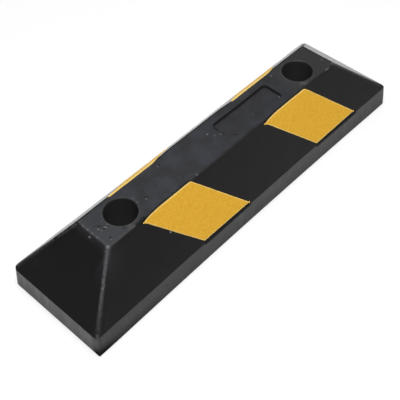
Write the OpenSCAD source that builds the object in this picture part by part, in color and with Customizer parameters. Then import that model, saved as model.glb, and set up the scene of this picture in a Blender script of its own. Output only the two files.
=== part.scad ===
// Moulded rubber wheel stop for a parking bay, bolted to the ground through two deep counterbored holes.
// X runs along the block, the front slope faces -Y, and +Z is up.
// The origin is on the ground under the middle of the block.

/* [Block] */
// Length of the foot along X
base_length = 550; // [480:1:700]
// Width of the foot along Y
base_width = 150; // [130:1:200]
// Overall height
height = 90; // [75:1:120]
// Height of the upright sides, where the slopes start
side_height = 30; // [26:1:45]
// How far each upright side leans in by its top
side_draft = 2.5; // [0:0.1:5]
// How far each end slope runs in, level, from its foot to its shoulder
end_slope_run = 67.5; // [50:0.5:80]
// How far each long slope runs in, level, from its foot to its shoulder
long_slope_run = 45.5; // [30:0.5:48]
// Radius of the upright corners, in plan
corner_radius = 8; // [6:0.5:14]
// Radius that rounds the shoulders of the flat top and the hips
edge_radius = 3.5; // [2:0.5:8]
// Bevel round the very bottom edge
foot_bevel = 1; // [0.5:0.1:3]

/* [Fixing holes] */
// Distance of each fixing hole from its end of the block
hole_inset = 115; // [105:1:150]
// Diameter of the deep counterbore that swallows the bolt head and its washer
counterbore_diameter = 40.5; // [32:0.5:44]
// Rubber left between the counterbore and the ground, which the bolt clamps
clamped_floor = 30; // [24:1:50]
// Diameter of the bolt hole through the clamped floor
bolt_hole_diameter = 14; // [8:0.5:20]
// Bevel round the mouth of the counterbore
mouth_bevel = 0.8; // [0.2:0.1:2]

/* [Reflective panels] */
// Width of a panel along the block
panel_width = 82; // [50:1:100]
// Distance of the middle of a left panel from the -X end of the block
left_panel_inset = 190; // [170:1:200]
// Distance of the middle of a right panel from the +X end of the block
right_panel_inset = 146; // [140:1:200]
// Lean of a panel's ends from the fall of the slope, its foot toward +X
panel_lean = 40; // [0:1:50]
// Bare strip between the foot of the slope and the foot of a panel
panel_foot_margin = 4.2; // [2:0.2:12]
// Bare strip between the head of a front panel and the shoulder
panel_head_margin = 0.2; // [0:0.1:10]
// How far the head of a front panel falls away toward its pointed corner
front_head_drop = 3.6; // [0:0.1:8]
// Length of the stretch of a front panel's head that falls away
front_head_sweep = 30; // [10:1:50]
// How much further up a rear panel's head reaches, over the shoulder
rear_head_reach = 0.9; // [0:0.1:1.2]
// How far the head of a rear panel falls away toward its blunt corner
rear_head_drop = 2; // [0:0.1:8]
// Length of the stretch of a rear panel's head that falls away
rear_head_sweep = 14; // [8:1:50]
// Corner radius of a panel
panel_corner = 2; // [0.5:0.1:5]
// Depth of a panel below the face of the slope
panel_depth = 2.5; // [1.5:0.1:6]
// Height of a panel above the face of the slope
panel_stand = 0.4; // [0.2:0.1:1.5]
// Gap between the edge of a panel and its pocket
panel_gap = 0.15; // [0.05:0.05:0.5]

/* [Top recess] */
// Length of the bare shallow recess in the flat top
recess_length = 101; // [40:1:110]
// Width of the recess
recess_width = 32; // [20:1:40]
// Distance of the middle of the recess from the +X end of the block
recess_inset = 214; // [205:1:240]
// Depth of the recess
recess_depth = 3.5; // [0.5:0.1:5]
// How far each wall of the recess leans in by its floor
recess_draft = 1; // [0:0.1:2]
// Corner radius of the recess
recess_corner = 5.5; // [1:0.5:8]

/* [Cored underside] */
// Width of the solid rim round the underside
rim_width = 16; // [12:0.5:20]
// Width of the ribs between the pockets
rib_width = 10; // [6:0.5:14]
// Pockets along the block
pocket_columns = 10; // [8:2:12]
// Pockets across the block
pocket_rows = 2; // [2:1:3]
// Depth of the pockets
pocket_depth = 20; // [8:0.5:22]
// How far each pocket wall leans in by its roof
pocket_draft = 1; // [0.2:0.1:2]
// Corner radius of the pockets
pocket_corner = 5; // [2:0.5:8]
// Diameter of the solid boss round each bolt hole
boss_diameter = 58; // [50:1:70]

/* [Hidden] */

// Facets of a round that blends faces, and of one that is a bore or a boss
blend_facets = 32;
round_facets = 96;
// Steps of the curved stretch of a panel's head
sweep_steps = 8;
// Overrun that takes every cut clear through a face
overrun = 1;

// Half sizes of the block where the slopes start, and of the flat top from shoulder to shoulder
shelf_half_length = base_length / 2 - side_draft;
shelf_half_width = base_width / 2 - side_draft;
top_half_length = shelf_half_length - end_slope_run;
top_half_width = shelf_half_width - long_slope_run;

// Angles of the end slopes and of the long slopes above the level
end_angle = atan2(height - side_height, end_slope_run);
long_angle = atan2(height - side_height, long_slope_run);

// Length of the long slope along its fall
fall_length = norm([long_slope_run, height - side_height]);

// Foot, head and middle of a panel, up the fall of the slope
panel_foot = panel_foot_margin;
panel_head = fall_length - panel_head_margin;
panel_middle = (panel_foot + panel_head) / 2;

// Places along the block of the fixing holes, the panels' middles and the middle of the recess
hole_places = [hole_inset - base_length / 2, base_length / 2 - hole_inset];
left_panel_x = left_panel_inset - base_length / 2;
right_panel_x = base_length / 2 - right_panel_inset;
recess_x = base_length / 2 - recess_inset;

// Size of one pocket in the underside, at its mouth, and the step to the next
pocket_length = (base_length - 2 * rim_width - (pocket_columns - 1) * rib_width) / pocket_columns;
pocket_width = (base_width - 2 * rim_width - (pocket_rows - 1) * rib_width) / pocket_rows;
pocket_step_x = pocket_length + rib_width;
pocket_step_y = pocket_width + rib_width;

// How far a panel's own middle line has moved along the block at a height on the slope
function lean_at(fall) = (panel_middle - fall) * tan(panel_lean);

// One copy at each corner of a rectangle round the origin
module at_corners(half_length, half_width) {
    for (x = [-half_length, half_length], y = [-half_width, half_width])
        translate([x, y, 0]) children();
}

// Ball whose top and sides are at their full radius
module ball(radius) {
    rotate_extrude($fn = blend_facets)
        intersection() {
            circle(radius, $fn = blend_facets);
            translate([0, -radius]) square([radius, 2 * radius]);
        }
}

// Flat rectangle with round corners, in the middle of its own plane
module rounded_rectangle(length, width, radius) {
    square([length - 2 * radius, width], center = true);
    square([length, width - 2 * radius], center = true);
    at_corners(length / 2 - radius, width / 2 - radius) circle(radius, $fn = blend_facets);
}

// Thin disc that is widest at its top, one foot bevel up
module corner_disc(radius) {
    cylinder(h = foot_bevel, r1 = radius - foot_bevel, r2 = radius);
}

// Outer form of the block: upright sides, four slopes and the flat top, with every edge blended.
// Each ball touches the flat top and the two slopes that meet at its corner.
// A grown copy has every face moved out by the same amount.
module outer_form(grow = 0) {
    hull($fn = blend_facets) {
        at_corners(base_length / 2 - corner_radius, base_width / 2 - corner_radius)
            corner_disc(corner_radius + grow);
        translate([0, 0, side_height - foot_bevel])
            at_corners(shelf_half_length - corner_radius, shelf_half_width - corner_radius)
                corner_disc(corner_radius + grow);
        translate([0, 0, height - edge_radius])
            at_corners(top_half_length - edge_radius * tan(end_angle / 2),
                       top_half_width - edge_radius * tan(long_angle / 2))
                ball(edge_radius + grow);
    }
}

// Puts a flat drawing on the front slope: its x along the block, its y up the fall, its z straight out
module on_front_slope() {
    translate([0, -shelf_half_width, side_height]) rotate([long_angle, 0, 0]) children();
}

// Outline of a panel, flat: a leaning parallelogram with its foot toward +X.
// A front panel's head falls away toward its pointed corner, at -X, and a rear panel's toward its blunt one.
module panel_outline(rear) {
    half = panel_width / 2;
    head = rear ? panel_head + rear_head_reach : panel_head;
    drop = rear ? rear_head_drop : front_head_drop;
    sweep = rear ? rear_head_sweep : front_head_sweep;
    way = rear ? 1 : -1;
    fallen = [for (step = [0:sweep_steps]) let (part = step / sweep_steps)
        [lean_at(head - drop) + way * (half - sweep * (1 - part)), head - drop * part * part]];
    foot = [[lean_at(panel_foot) - half, panel_foot], [lean_at(panel_foot) + half, panel_foot]];
    level = [lean_at(head) - way * half, head];
    offset(r = panel_corner, $fn = blend_facets) offset(delta = -panel_corner)
        polygon(rear ? concat(foot, [for (step = [0:sweep_steps]) fallen[sweep_steps - step]], [level])
                     : concat(foot, [level], fallen));
}

// Block of space that a panel, or its pocket when it is given a gap, takes out of the slope
module panel_space(middle_x, rear, gap = 0) {
    mirror([0, rear ? 1 : 0, 0]) on_front_slope()
        translate([middle_x, 0, -panel_depth])
            linear_extrude(panel_depth + edge_radius + overrun)
                offset(delta = gap) panel_outline(rear);
}

// Panel of yellow beaded sheet, which follows the slope and bends over the shoulder with it
module panel(middle_x, rear) {
    color([0.85, 0.66, 0.22]) intersection() {
        outer_form(panel_stand);
        panel_space(middle_x, rear);
    }
}

// Space of the bare recess in the flat top, whose walls lean out to its mouth and go on past it
module recess() {
    floor_length = recess_length - 2 * recess_draft;
    floor_width = recess_width - 2 * recess_draft;
    spread = 2 * recess_draft * (recess_depth + overrun) / recess_depth;
    translate([recess_x, 0, height - recess_depth])
        linear_extrude(recess_depth + overrun, slices = 1,
                       scale = [1 + spread / floor_length, 1 + spread / floor_width])
            rounded_rectangle(floor_length, floor_width, recess_corner);
}

// Bolt hole, counterbore and its bevelled mouth, turned round an axis on the origin
module fixing_hole() {
    bolt_radius = bolt_hole_diameter / 2;
    bore_radius = counterbore_diameter / 2;
    rotate_extrude($fn = round_facets)
        polygon([[0, -overrun],
                 [bolt_radius, -overrun],
                 [bolt_radius, clamped_floor],
                 [bore_radius, clamped_floor],
                 [bore_radius, height - mouth_bevel],
                 [bore_radius + mouth_bevel + overrun, height + overrun],
                 [0, height + overrun]]);
}

// Pockets cored out of the underside, which leave the rim, the ribs and the two bosses standing
module underside_pockets() {
    difference() {
        for (column = [0:pocket_columns - 1], row = [0:pocket_rows - 1])
            translate([(column - (pocket_columns - 1) / 2) * pocket_step_x,
                       (row - (pocket_rows - 1) / 2) * pocket_step_y, 0])
                linear_extrude(pocket_depth, slices = 1, scale = [1 - 2 * pocket_draft / pocket_length,
                                                                  1 - 2 * pocket_draft / pocket_width])
                    rounded_rectangle(pocket_length, pocket_width, pocket_corner);
        for (x = hole_places)
            translate([x, 0, -overrun])
                cylinder(h = pocket_depth + 2 * overrun, d = boss_diameter, $fn = round_facets);
    }
}

// Black rubber block, moulded in one piece
module body() {
    color([0.17, 0.17, 0.18]) difference() {
        outer_form();
        for (x = hole_places)
            translate([x, 0, 0]) fixing_hole();
        recess();
        for (rear = [false, true], middle_x = [left_panel_x, right_panel_x])
            panel_space(middle_x, rear, panel_gap);
        underside_pockets();
    }
}

// Yellow reflective panels, two on each long slope
module front_left_panel() { panel(left_panel_x, false); }
module front_right_panel() { panel(right_panel_x, false); }
module rear_left_panel() { panel(left_panel_x, true); }
module rear_right_panel() { panel(right_panel_x, true); }

body();
front_left_panel();
front_right_panel();
rear_left_panel();
rear_right_panel();
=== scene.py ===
import math

import bmesh
import bpy
import numpy as np
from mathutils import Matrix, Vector, noise


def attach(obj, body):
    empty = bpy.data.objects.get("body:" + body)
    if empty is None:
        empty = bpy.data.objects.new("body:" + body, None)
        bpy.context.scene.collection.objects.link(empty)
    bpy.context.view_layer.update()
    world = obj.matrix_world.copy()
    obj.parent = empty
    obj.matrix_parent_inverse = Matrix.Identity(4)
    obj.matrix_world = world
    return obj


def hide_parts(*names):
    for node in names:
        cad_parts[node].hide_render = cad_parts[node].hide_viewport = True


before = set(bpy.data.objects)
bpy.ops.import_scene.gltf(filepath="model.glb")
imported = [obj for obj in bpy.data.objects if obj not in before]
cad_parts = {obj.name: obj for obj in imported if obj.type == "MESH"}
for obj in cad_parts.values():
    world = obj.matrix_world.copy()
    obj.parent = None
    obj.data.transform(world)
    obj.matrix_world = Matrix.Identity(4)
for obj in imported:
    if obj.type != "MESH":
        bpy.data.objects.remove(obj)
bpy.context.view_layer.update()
scene = bpy.context.scene
scene.view_settings.view_transform = "Standard"

# ---- Camera ----
# It stands about a metre from the block, above its left end, and looks down along it.
camera = bpy.data.objects.new("camera", bpy.data.cameras.new("camera"))
camera.location = (-0.50899, -0.46981, 0.79896)
camera.rotation_euler = [math.radians(turn) for turn in (39.806, 1.3023, -47.0638)]
camera.data.lens = 72.577
camera.data.sensor_width = 36
camera.data.clip_end = 100
scene.collection.objects.link(camera)
scene.camera = camera


# ---- Floor and light ----
# A wide white board on the studio floor, a big soft lamp over the block, a small one near the
# camera, and two weak ones behind and beside it. The room round them is dim.
class Shade:
    """A socket in a material. Sums on it add Math nodes, and node() adds a node of any other kind."""

    def __init__(self, tree, socket=None):
        self.tree, self.socket = tree, socket

    def node(self, kind, settings=None, sockets=None, output=0):
        made = self.tree.nodes.new("ShaderNode" + kind)
        for name, value in (settings or {}).items():
            setattr(made, name, value)
        for name, value in (sockets or {}).items():
            if isinstance(value, Shade):
                self.tree.links.new(value.socket, made.inputs[name])
            else:
                made.inputs[name].default_value = value
        return Shade(self.tree, made.outputs[output] if made.outputs else None)

    def sum(self, operation, first, second=0.0):
        return self.node("Math", {"operation": operation}, {0: first, 1: second})

    def __add__(self, other):
        return self.sum("ADD", self, other)

    def __sub__(self, other):
        return self.sum("SUBTRACT", self, other)

    def __rsub__(self, other):
        return self.sum("SUBTRACT", other, self)

    def __mul__(self, other):
        return self.sum("MULTIPLY", self, other)

    def __abs__(self):
        return self.sum("ABSOLUTE", self)

    __radd__, __rmul__ = __add__, __mul__

    def vector(self, operation, other=None, output=0):
        """This vector after Vector Math, by itself or with another one. Output 1 is a number."""
        sockets = {0: self} if other is None else {0: self, 1: other}
        return self.node("VectorMath", {"operation": operation}, sockets, output)

    def part(self, axis):
        """One of the three numbers of this vector."""
        return self.node("SeparateXYZ", sockets={0: self}, output=axis)

    def rising(self, low, high):
        """0 below low, 1 above high, and a smooth rise between. It falls where low is above high."""
        return self.node("MapRange", {"interpolation_type": "SMOOTHSTEP"},
                         {"Value": self, "From Min": low, "From Max": high})

    def mix(self, first, second):
        """The first colour where this is 0, and the second where it is 1."""
        return self.node("Mix", {"data_type": "RGBA"}, {0: self, 6: first, 7: second}, 2)


def new_finish(name):
    """A new material, and the tree that its nodes go into."""
    finish = bpy.data.materials.new(name)
    finish.use_nodes = True
    finish.node_tree.nodes.clear()
    return finish, Shade(finish.node_tree)


floor_mesh = bmesh.new()
bmesh.ops.create_circle(floor_mesh, cap_ends=True, segments=64, radius=40)
floor = bpy.data.objects.new("floor", bpy.data.meshes.new("floor"))
floor_mesh.to_mesh(floor.data)
floor_mesh.free()
scene.collection.objects.link(floor)

board, shade = new_finish("white board")
matt = shade.node("BsdfDiffuse", sockets={"Color": (0.99, 0.99, 0.99, 1)})
white = shade.node("Emission", sockets={"Color": (1, 1, 1, 1), "Strength": 1})
seen = shade.node("LightPath") + shade.node("LightPath", output=3) + shade.node("LightPath", output=6)
bleached = shade.node("MixShader", sockets={0: seen * 0.4, 1: matt, 2: white})
from_below = shade.node("NewGeometry", output=6)
sheet = shade.node("MixShader", sockets={0: from_below, 1: bleached, 2: shade.node("BsdfTransparent")})
shade.node("OutputMaterial", sockets={0: sheet})
floor.data.materials.append(board)


lamp_distance = 3.2


def softbox(name, direction, size, strength):
    """Square lamp that looks at the block from a direction. At strength 1 its face is plain white."""
    lamp = bpy.data.objects.new(name, bpy.data.lights.new(name, "AREA"))
    lamp.data.size = size
    lamp.data.energy = strength * math.pi * size * size
    lamp.location = Vector(direction).normalized() * lamp_distance
    lamp.rotation_euler = Vector(direction).to_track_quat("Z", "Y").to_euler()
    scene.collection.objects.link(lamp)


softbox("overhead softbox", (-0.10, -0.10, 0.99), 1.9, 8.5)
softbox("back softbox", (0.38, 0.50, 0.78), 1.9, 0.9)
softbox("camera softbox", (-0.34, -0.48, 0.81), 0.8, 6.5)
softbox("fill softbox", (0.80, -0.58, 0.22), 2.0, 0.3)
world = bpy.data.worlds.new("studio")
world.use_nodes = True
world.node_tree.nodes["Background"].inputs["Color"].default_value = (0.04, 0.04, 0.04, 1)
scene.world = world


# ---- Rubber block ----
# One block of black recycled rubber, pressed in a mould while hot. Its edges are a little wavy, its
# hips are rough where the mould's parts met, and a pale bloom and scuffs lie on the skin, with painted
# sheen and painted shade among them.
MM = 0.001
half_length, half_width, top, shelf = 275, 75, 90, 30
shelf_half_length, shelf_half_width = 272.5, 72.5
flat_half_length, flat_half_width = 205, 27
shoulder_round = 3.5
hole_x, bore_radius = 160, 20.25
core_depth, core_half_length, core_half_width = 20.5, 262, 62
slope_angle = math.atan2(top - shelf, shelf_half_width - flat_half_width)
hip_foot = Vector((shelf_half_length - 2.4, shelf_half_width - 3.3, shelf))
hip_head = Vector((flat_half_length - 0.3, flat_half_width - 0.3, top - 0.5))
hip_way = (hip_head - hip_foot).normalized()
# How far the skin moves as it cools: in at the front, the near shoulder and the far slope, out at the rear.
front_bow, near_draw, far_draw = 1.8, 1, 0.6
rear_push, rear_bulge = 0.55, 0.8
# How uneven it is: in long and short waves all over, on the rough hips, and where the flat top sinks.
long_wave, short_wave, hip_wave, top_sink = 0.28, 0.15, 0.5, 0.25
hip_reach = 4.5
corner_reach = 8


def cut_along(mesh, axis, levels, wanted=lambda middle: True):
    """Cuts the wanted faces wherever they cross a level plane, so that the skin can bend there."""
    way = Vector([float(i == axis) for i in range(3)])
    for level in levels:
        crossed = []
        for face in mesh.faces:
            heights = [vertex.co[axis] for vertex in face.verts]
            crosses = min(heights) < level - 0.01 and max(heights) > level + 0.01
            if crosses and wanted(face.calc_center_bounds()):
                crossed.append(face)
        round_them = {edge for face in crossed for edge in face.edges}
        at_them = {vertex for face in crossed for vertex in face.verts}
        if crossed:
            bmesh.ops.bisect_plane(mesh, geom=[*crossed, *round_them, *at_them], dist=0.001,
                                   plane_co=way * float(level), plane_no=way)


noise.seed_set(7)  # without a seed, the vector noise is another one each time


def unevenness(point, wave, seed):
    """Smooth bend of a moulded skin, from -1 to 1 along each axis, with bumps of one length."""
    return noise.noise_vector(Vector(point) / wave + Vector((seed, 2 * seed, 3 * seed)))


def ramp(value, low, high):
    """0 below low, 1 above high, and straight between. It falls where low is above high."""
    return min(1, max(0, (value - low) / (high - low)))


def settled(spot):
    """Where a point of the block, or of a panel in it, ends up once the rubber cools."""
    by_end = (spot.x / half_length) ** 2
    foot = 0.2 * ramp(spot.z, shelf, 0) * (1 - 2.4 * by_end)
    spot.y += front_bow * ramp(-spot.y, flat_half_width, half_width) * (1 - by_end + foot)
    spot.y += rear_push * ramp(spot.y, flat_half_width, half_width) * ramp(-spot.x, 80, 190)
    middle = ramp(spot.y, -26, -16) + 0.8 * ramp(spot.y, 16, 24)
    spot.x += near_draw * ramp(spot.z, 62, 88) * middle * ramp(-spot.x, 190, 202)
    spot.x -= far_draw * ramp(spot.x, 198, 204) * ramp(spot.z, 28, 40)
    return spot


def moulded(spot):
    """Where a point of the nominal block is on a real one: wavy, rough at the hips, with squarer corners."""
    folded = Vector((abs(spot.x), abs(spot.y), spot.z))
    bend = long_wave * unevenness(spot, 55, 1) + short_wave * unevenness(spot, 14, 2)
    from_hip = (folded - hip_foot).cross(hip_way).length
    rough = ramp(from_hip, hip_reach, 0) * (shelf - 1 < spot.z < top)
    bend += hip_wave * rough * unevenness(spot, 3.2, 3)
    bend.z -= top_sink * (spot.z > top - 1)
    from_bore = math.hypot(folded.x - hole_x, folded.y)
    bend *= ramp(from_bore, bore_radius + 0.75, bore_radius + 6.75) * ramp(spot.z, 0, 8)
    corner = Vector((max(0, folded.x - (half_length - corner_reach)),
                     max(0, -spot.y - (half_width - corner_reach))))
    if corner.x > 0 and corner.y > 0:
        power = 12 if spot.x < 0 else 5
        squarer = corner.length / (corner.x ** power + corner.y ** power) ** (1 / power) - 1
        sharp = 1 if spot.x < 0 else ramp(spot.z, 0, 28)
        corner.x = math.copysign(corner.x, -spot.x)
        spot.xy -= corner * squarer * sharp * ramp(spot.z, 60, 30)
    if 24.5 < spot.y < 32 and spot.z > 80:
        spot.y += rear_bulge * ramp(abs(spot.x + 7), 62, 47)
    return settled(spot + bend)


def on_the_outside(middle):
    """Whether a face is on the outside of the block, and not in its cored underside."""
    return middle.z > core_depth or abs(middle.x) > core_half_length or abs(middle.y) > core_half_width


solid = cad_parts["body"].data
skin = bmesh.new()
at = [skin.verts.new(vertex.co / MM) for vertex in solid.vertices]
for face in solid.polygons:
    skin.faces.new([at[i] for i in face.vertices])
bmesh.ops.remove_doubles(skin, verts=skin.verts, dist=0.001)
bmesh.ops.dissolve_limit(skin, angle_limit=math.radians(0.2), verts=skin.verts, edges=skin.edges)
across = [*np.arange(-272, -196, 2.5), *np.arange(-196, 197, 4.0), *np.arange(199.5, 273, 2.5)]
cut_along(skin, 0, across, on_the_outside)
cut_along(skin, 1, np.arange(-72, 73, 3.0), on_the_outside)
cut_along(skin, 2, np.arange(5, 89, 4.0), on_the_outside)
bmesh.ops.triangulate(skin, faces=skin.faces[:])

limit = Vector((half_length, half_width, top))
for vertex in skin.verts:
    spot = moulded(vertex.co.copy())
    vertex.co = [min(limit[i], max(-limit[i] * (i < 2), spot[i])) * MM for i in range(3)]

skin_mesh = bpy.data.meshes.new("rubber_block")
skin.to_mesh(skin_mesh)
skin.free()
skin_mesh.shade_smooth()
skin_mesh.set_sharp_from_angle(angle=math.radians(28))
rubber_block = bpy.data.objects.new("rubber_block", skin_mesh)
scene.collection.objects.link(rubber_block)


def spot_in_mm(shade):
    """Where a spot of the skin is in the part's own frame, in millimetres."""
    metres = shade.node("TexCoord", output=3)
    return shade.node("VectorMath", {"operation": "SCALE"}, {0: metres, "Scale": 1 / MM})


def seen_edge_on(shade):
    """Rises to 1 where the skin is seen almost edge on, and looks glossier."""
    return shade.node("LayerWeight", sockets={"Blend": 0.5}, output=1).rising(0.75, 1)


rubber, shade = new_finish("black moulded rubber")
spot = spot_in_mm(shade)
x, y, z = [spot.part(axis) for axis in range(3)]
folded = spot.vector("ABSOLUTE")
up = shade.node("NewGeometry", output=1).part(2)

# The textures of the skin, and the places on it that wear, hold dust or carry painted light in their own way.
patches = shade.node("TexNoise", sockets={"Vector": spot, "Scale": 0.045, "Detail": 4, "Roughness": 0.6})
mottle = shade.node("TexNoise", sockets={"Vector": spot, "Scale": 0.22, "Detail": 5, "Roughness": 0.65})
crumb = shade.node("TexNoise", sockets={"Vector": spot, "Scale": 0.9, "Detail": 4, "Roughness": 0.7})
from_hip = folded.vector("SUBTRACT", hip_foot).vector("CROSS_PRODUCT", hip_way).vector("LENGTH", output=1)
hip = (from_hip + (mottle - 0.5) * 4).rising(2.8 + 1.4 * z.rising(72, 88), 0.9) * z.rising(shelf, shelf + 12)
# Paler scuffed rubber on the rough hips, which also paints the highlight that runs along them.
scuffs_and_highlight = hip * (0.1 + 0.9 * z.rising(34, 64)) * crumb.rising(0.42, 0.58)
from_bore = folded.vector("SUBTRACT", (hole_x, 0, 0)).vector("MULTIPLY", (1, 1, 0)).vector("LENGTH", output=1)
in_bore = from_bore.rising(bore_radius + 0.65, bore_radius + 0.05)
in_recess = abs(up).rising(0.6, 0.3) * z.rising(84, 86) * (x + 40).rising(30, 40) * y.rising(-20, -18)
flat_top = up.rising(0.95, 0.995) * z.rising(84, 88)
upright = abs(up).rising(0.25, 0.12) * z.rising(shelf + 2, shelf - 2)
streaks = shade.node("TexNoise", sockets={
    "Vector": spot.vector("MULTIPLY", (1, 1, 0.12)), "Scale": 0.12, "Detail": 5, "Roughness": 0.6})
# Pale dust streaks the upright sides. At the near end the side is also painted lighter all over, a painted
# reflection of the bright floor.
dust_and_sheen = upright * (0.25 + 0.75 * streaks.rising(0.35, 0.7)) * x.rising(-230, -274)
dust_and_sheen = dust_and_sheen + upright * streaks.rising(0.45, 0.75) * 0.3


def marks(places, radius):
    """1 at each of these places on the skin, with a ragged outline."""
    found = 0
    for place in places:
        away = spot.vector("DISTANCE", place, output=1)
        found = found + (away + (crumb - 0.5) * 6).rising(radius, 0.3 * radius)
    return found


def scratch(start, end, width):
    """1 along a straight scratch, with ragged sides."""
    run = Vector(end) - Vector(start)
    ahead = spot.vector("SUBTRACT", start)
    along = ahead.vector("DOT_PRODUCT", run.normalized(), output=1)
    off = ahead.vector("CROSS_PRODUCT", run.normalized()).vector("LENGTH", output=1)
    ragged = (off + (crumb - 0.5) * 3).rising(width, 0.3 * width)
    return ragged * along.rising(0, 2) * along.rising(run.length, run.length - 2)


def wear(dots, lines):
    """Marks and scratches together. A row has their strength, their size, and where they are."""
    found = 0
    for strength, radius, places in dots:
        found = found + strength * marks(places, radius)
    for strength, width, start, end in lines:
        found = found + strength * scratch(start, end, width)
    return found


# Chips show the paler inside of the rubber. Most are dots, and the ones between the near hole
# and the near end, and at the right end of the recess, are short cuts. Between the near hole and
# the near end they are partly painted glints on the rims of small dents, next to the dark pits.
chips_and_glints = wear([
    (1, 1.3, [(-83, 17.6, 90), (-4.5, 9.5, 90), (-61, -25.8, 90), (-127, -8, 90), (-142, -9, 90),
              (130, 19.5, 90), (199, -11, 90), (109, -12, 87)]),
    (1, 2, [(-207.5, 1, 88), (-203.5, -25, 89.5), (-235, -47, 63.5), (-129, -47, 63)]),
    (0.5, 1.6, [(-202.5, 17, 90), (-202.5, 9, 90), (-202.5, 1.5, 90), (-202.5, -7, 90)]),
    (0.6, 1.6, [(0.6, 1.3, 90), (6.8, -2.4, 90)]),
    (0.25, 1.8, [(62, -7, 86.5)]),
    (0.5, 1.2, [(-96.8, -25, 89.6), (-103.6, -24.6, 89.8)]),
], [
    (1, 1.2, (-195.5, 2, 90), (-192.8, -1.2, 90)),
    (1, 1.1, (-193.4, -2.6, 90), (-191.6, -5.4, 90)),
    (1, 1, (-188.4, -1.2, 90), (-184.4, -6.2, 90)),
    (1, 1, (-184.5, 7, 90), (-183, 5, 90)),
    (1, 1.1, (-183.4, -1, 90), (-182, -3.5, 90)),
    (1, 1.3, (-195, -20, 90), (-193.2, -22, 90)),
    (1, 1.1, (-208.5, 0.5, 88), (-207, -2.5, 88)),
    (0.7, 0.9, (184, -27, 89.5), (194, -27, 89.5)),
    (0.5, 1, (141, -18, 90), (150, -26, 90)),
    (0.5, 1, (144, -17, 90), (152, -24, 90)),
])
# Pits are small dark holes, with dark creases beside the near hole. The dark line at the recess's near end is
# painted shade along its rim.
pits_and_shade = wear([
    (1, 1.7, [(-192.7, -17.9, 90), (-173.4, -19.3, 90), (-207.5, -5, 88), (18.7, -15.2, 86.5),
              (-80, 18.5, 90), (-125.5, -6.5, 90), (-164.5, -72.4, 18), (-259, 21, 42)]),
    (0.6, 2.2, [(-189.8, -4, 90)]),
    (1, 1.8, [(19, -17, 90)]),
], [
    (0.45, 1, (-196, 8.5, 90), (-182, -5, 90)),
    (0.6, 1.2, (-193, 4.5, 90), (-188, 0, 90)),
    (0.6, 1.1, (-186, -3, 90), (-182, -6.5, 90)),
    (0.3, 1.8, (9.2, -9, 90), (9.4, 4, 90)),
    (0.8, 1.7, (9.4, 3, 90), (9.6, 12, 90)),
    (0.9, 1.3, (9.4, 10, 90), (13.5, 17, 90)),
])
grazed = marks([(-167, -23.5, 90)], 5) + marks([(-138, 4, 90), (-138, -4, 90)], 3.5)
# Painted shade along the front shoulder, darkest as a painted shadow where the panels' heads meet the flat
# top.
shoulder_shade = wear([], [
    (0.25, 2.5, (-150, -26, 89.3), (60, -26, 89.3)),
    (1, 3, (-146, -26, 89.5), (-163, -27, 89)),
])
for path in [[(-73, -25.4, 89.6), (-125, -25.4, 89.6), (-140, -26.2, 89.4), (-154, -28.6, 88)],
             [(142, -26, 89.3), (86, -26, 89.3), (71, -26.8, 89), (57, -29.2, 87.6)]]:
    for start, end in zip(path, path[1:]):
        shoulder_shade = shoulder_shade + 0.6 * scratch(start, end, 1.7)

# A pale bloom of dust on the flat top. Its bluish tint, and the lighter tone towards the near end, are
# painted sheen.
bloom_and_sheen = flat_top * (0.3 + patches.rising(0.35, 0.65) * 0.7)
far_end = flat_top * x.rising(110, 150)
near_end_bloom_and_sheen = flat_top * x.rising(-140, -195) * (1 - 0.5 * y.rising(-8, 12) * x.rising(-205, -190))
# Painted sheen: a pale bluish haze near the top of the near slope and shoulder, and beside the hips' upper
# ends, which widens their highlight.
sheen_haze = (1 - flat_top) * z.rising(55, 84) * x.rising(-185, -210) * y.rising(-25, -30)
sheen_haze = sheen_haze + (1 - flat_top) * z.rising(83, 88) * x.rising(-202, -205)
sheen_haze = sheen_haze + from_hip.rising(8, 2) * z.rising(64, 84) * y.rising(20, -20)
round_bores = flat_top * from_bore.rising(bore_radius + 3.25, bore_radius + 1.25) * (1 - in_bore)
worn = x.rising(-200.5, -201.5) * z.rising(89.2, 89.8) + round_bores
worn = (worn * (0.4 + 0.6 * mottle.rising(0.4, 0.6)) + grazed) * crumb.rising(0.4, 0.6)

# The colour, from the bare rubber up: each tone covers its share of the ones before it.
black, dark_grey = (0.0016, 0.0008, 0.0012, 1), (0.0048, 0.0036, 0.0040, 1)
colour = (x.rising(-140, -30) * x.rising(260, 130)).mix(black, dark_grey)
for cover, tone in [(in_bore + in_recess * 0.25, (0.046, 0.046, 0.046, 1)),
                    (bloom_and_sheen, (0.018, 0.021, 0.029, 1)),
                    (far_end, (0.0195, 0.0195, 0.0195, 1)),
                    (near_end_bloom_and_sheen, (0.0215, 0.024, 0.029, 1)),
                    (sheen_haze * 0.35, (0.019, 0.020, 0.026, 1)),
                    (worn, (0.052, 0.053, 0.055, 1)),
                    (scuffs_and_highlight, (0.095, 0.095, 0.096, 1)),
                    (dust_and_sheen, (0.060, 0.059, 0.062, 1)),
                    (pits_and_shade, (0.002, 0.002, 0.002, 1)),
                    (chips_and_glints, (0.15, 0.15, 0.165, 1))]:
    colour = cover.mix(colour, tone)
grain = crumb + mottle * 0.8 + hip * crumb * 3 - pits_and_shade * 3 + chips_and_glints
bump = shade.node("Bump", sockets={"Strength": 0.25, "Distance": 0.0004, "Height": grain})
gloss = (0.40 + 0.10 * patches + 0.06 * crumb + 0.15 * hip) * (1 - 0.5 * seen_edge_on(shade))
skin_gloss = shade.node("BsdfPrincipled", sockets={
    "Base Color": colour, "Roughness": gloss, "IOR": 1.5, "Normal": bump})

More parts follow.
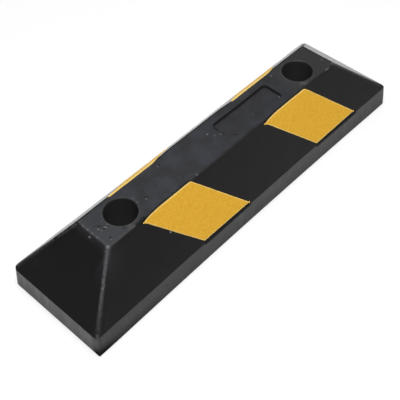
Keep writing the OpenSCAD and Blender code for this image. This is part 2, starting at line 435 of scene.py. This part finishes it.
# A dark matt coat paints shade: darker towards the foot and most at the near front corner, a painted shadow
# under the panels' feet, painted shade on the rear shoulder's edges and along the front shoulder, and the
# pits.
corner = upright.rising(0, 1) * y.rising(-60, -72) * x.rising(-235, -272)
grime = upright * z.rising(26, 0) * (0.10 + 0.25 * streaks) + corner * (0.25 + 0.25 * z.rising(26, 0))
grime = grime + upright * 0.4 * z.rising(18, 0) * x.rising(-140, -230) * y.rising(-60, -72)
# A painted shadow along the top of the sides, just under the panels' feet.
under_panels = x.rising(-99, -95) * x.rising(-11, -15) + x.rising(116, 120) * x.rising(207, 203)
lip_shadow = under_panels * (z + (mottle - 0.5) * 3).rising(26.1, 27.7) * z.rising(34, 31)
# Painted shade on the rear shoulder's rounded edge and on the near end of the rear hips, dimming their sheen.
rear_edge_shade = up.rising(0.77, 0.85) * up.rising(0.998, 0.97) * 0.75 + hip * x.rising(-200, -208) * 0.3
lines = 0.8 * lip_shadow + 0.8 * shoulder_shade + 0.7 * pits_and_shade + y.rising(20, 24) * rear_edge_shade
grime = grime + lines * (1 - grime)
shade_and_pit_coat = shade.node("BsdfDiffuse", sockets={"Color": (0.012, 0.013, 0.012, 1)})
surface = shade.node("MixShader", sockets={0: grime, 1: skin_gloss, 2: shade_and_pit_coat})
shade.node("OutputMaterial", sockets={0: surface})
rubber_block.data.materials.append(rubber)
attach(rubber_block, "root")
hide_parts("body")


# ---- Reflective panels ----
# Four leaning panels of yellow plastic full of fine glass beads, let into the long slopes as the
# rubber is pressed. Their edges are slightly ragged, with a painted highlight on the rounded rim,
# and their heads bend over the shoulder.
panel_stand, panel_depth, panel_gap = 0.4, 2.3, 0.6
edge_step, arc_steps = 1.2, 6
bend_round = shoulder_round + panel_stand
slope_length = math.hypot(top - shelf, shelf_half_width - flat_half_width)
slope_end = slope_length - shoulder_round * math.tan(slope_angle / 2)


def panel_edge(side, foot, head):
    """Points round the outline of a panel, flat, foot first: along the block, and up the fall."""
    sweep, round_off = (30, 0.8) if side < 0 else (14, 4)
    tip, level = Vector(head[side > 0]), Vector(head[side < 0])
    shares = [k / arc_steps for k in range(arc_steps + 1)]
    fallen = [(tip.x - side * sweep * (1 - share), level.y + (tip.y - level.y) * share ** 2, 0)
              for share in shares[:-1]]
    head_line = [(*level, 6 if side < 0 else 1.5), *fallen, (*tip, round_off)]
    flare = [(foot[0][0] * 0.085 + (tip.x + 1.8) * 0.915, 66, 8),
             (foot[0][0] * 0.55 + (tip.x + 1.0) * 0.45, 34, 12)] if side < 0 else []
    corners = [(*foot[0], 0.8), (*foot[1], 0.5), *head_line[::-side], *flare]
    line = []
    for i, (u, v, radius) in enumerate(corners):
        here = Vector((u, v))
        back, on = [(Vector(corners[(i + k) % len(corners)][:2]) - here).normalized() for k in (-1, 1)]
        if radius:
            turn = back.angle(on)
            leg = radius / math.tan(turn / 2)
            start, end = here + back * leg, here + on * leg
            for share in shares:
                line.append(start * (1 - share) ** 2 + here * 2 * share * (1 - share) + end * share ** 2)
        else:
            line.append(here)
    even = []
    for i, here in enumerate(line):
        ahead = line[(i + 1) % len(line)]
        steps = max(1, round((ahead - here).length / edge_step))
        even += [here.lerp(ahead, k / steps) for k in range(steps)]
    return even


def make_panel(name, side, foot, head, seed):
    """One panel on the slope of one side, -1 for the front one and 1 for the rear one."""
    edge = panel_edge(side, foot, head)
    count = len(edge)
    outward = []
    for i in range(count):
        along = (edge[(i + 1) % count] - edge[i - 1]).normalized()
        outward.append(Vector((along.y, -along.x)))
    ragged = [0.3 * noise.noise(Vector((point.x / 2.6, point.y / 2.6, seed))) - panel_gap for point in edge]
    # How far in each ring of the edge is, and how high, from the buried back to the rounded face.
    rings = [(0.0, -panel_depth), (0.0, panel_stand - 0.55), (0.1, panel_stand - 0.28),
             (0.35, panel_stand - 0.08), (0.8, panel_stand - 0.02), (1.6, panel_stand)]
    sheet = bmesh.new()
    # This layer marks the rounded outer rings, where the finish paints a highlight.
    rim = sheet.verts.layers.float.new("rim")
    loops = []
    for inset, lift in rings:
        loops.append([sheet.verts.new((*(point + out * (rough - inset)), lift))
                      for point, out, rough in zip(edge, outward, ragged)])
        for vertex in loops[-1]:
            vertex[rim] = float(inset < 1)
    for low, high in zip(loops, loops[1:]):
        for i in range(count):
            sheet.faces.new((low[i], low[(i + 1) % count], high[(i + 1) % count], high[i]))
    sheet.faces.new(loops[0][::-1])
    sheet.faces.new(loops[-1])
    sheet.normal_update()
    for axis, levels in [(0, np.arange(-165, 211, 3.0)),
                         (1, [*np.arange(3, 73, 3.0), *np.arange(73.5, 76, 0.8)])]:
        cut_along(sheet, axis, levels, lambda middle: middle.z > panel_stand - 0.01)
    bmesh.ops.triangulate(sheet, faces=sheet.faces[:])
    for vertex in sheet.verts:
        u, v, lift = vertex.co
        bent = min(bend_round - 0.1, max(0.0, v - slope_end))
        lift -= bend_round - math.sqrt(bend_round ** 2 - bent ** 2)
        if lift > -1:
            lift += 0.16 * noise.noise(Vector((u / 9, v / 9, seed + 5))) - 0.12
        out = v * math.cos(slope_angle) - lift * math.sin(slope_angle)
        high = v * math.sin(slope_angle) + lift * math.cos(slope_angle)
        vertex.co = settled(Vector((u, side * (shelf_half_width - out), shelf + high))) * MM
    if side > 0:
        bmesh.ops.reverse_faces(sheet, faces=sheet.faces[:])
    panel_mesh = bpy.data.meshes.new(name)
    sheet.to_mesh(panel_mesh)
    sheet.free()
    panel_mesh.shade_smooth()
    panel_mesh.set_sharp_from_angle(angle=math.radians(50))
    panel = bpy.data.objects.new(name, panel_mesh)
    scene.collection.objects.link(panel)
    return panel


reflective, shade = new_finish("yellow glass beads")
spot = spot_in_mm(shade)
beads = shade.node("TexVoronoi", sockets={"Vector": spot, "Scale": 1.1})
speckle = shade.node("TexNoise", sockets={"Vector": spot, "Scale": 0.55, "Detail": 5, "Roughness": 0.7})
clouds = shade.node("TexNoise", sockets={"Vector": spot, "Scale": 0.05, "Detail": 3})
colour = speckle.rising(0.35, 0.65).mix((0.670, 0.352, 0.021, 1), (0.790, 0.442, 0.041, 1))
colour = spot.part(1).rising(-10, 10).mix(colour, (0.86, 0.50, 0.03, 1))
# A painted highlight: the rounded rim is paler, as if its raised edge caught the light.
rim = shade.node("Attribute", {"attribute_name": "rim"}, output=2)
colour = (rim.rising(0.3, 0.9) * (0.3 + 0.4 * clouds)).mix(colour, (0.98, 0.76, 0.30, 1))
bump = shade.node("Bump", sockets={"Strength": 0.5, "Distance": 0.0003, "Height": speckle * 2 - beads})
gloss = (0.6 + 0.2 * clouds) * (1 - 0.3 * seen_edge_on(shade))
surface = shade.node("BsdfPrincipled", sockets={
    "Base Color": colour, "Roughness": gloss, "IOR": 1.5, "Specular IOR Level": 0.22, "Normal": bump})
shade.node("OutputMaterial", sockets={0: surface})

# Each row has the side, the ends of the foot and of the head, along the block and up its slope, and a seed.
for name, side, foot, head, seed in [
        ("front_left", -1, [(-95.7, 2.7), (-13.0, 2.0)], [(-154.6, 71.8), (-73.0, 75.1)], 11),
        ("front_right", -1, [(119.8, 1.9), (202.5, 2.6)], [(56.4, 71.2), (141.1, 74.4)], 23),
        ("rear_left", 1, [(-96.3, 4.2), (-14.3, 4.2)], [(-156.4, 76.0), (-72.8, 74.0)], 37),
        ("rear_right", 1, [(117.7, 4.2), (199.7, 4.2)], [(57.5, 75.5), (141.2, 73.5)], 41)]:
    panel = make_panel(name + "_reflector", side, foot, head, seed)
    panel.data.materials.append(reflective)
    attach(panel, "root")
    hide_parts(name + "_panel")
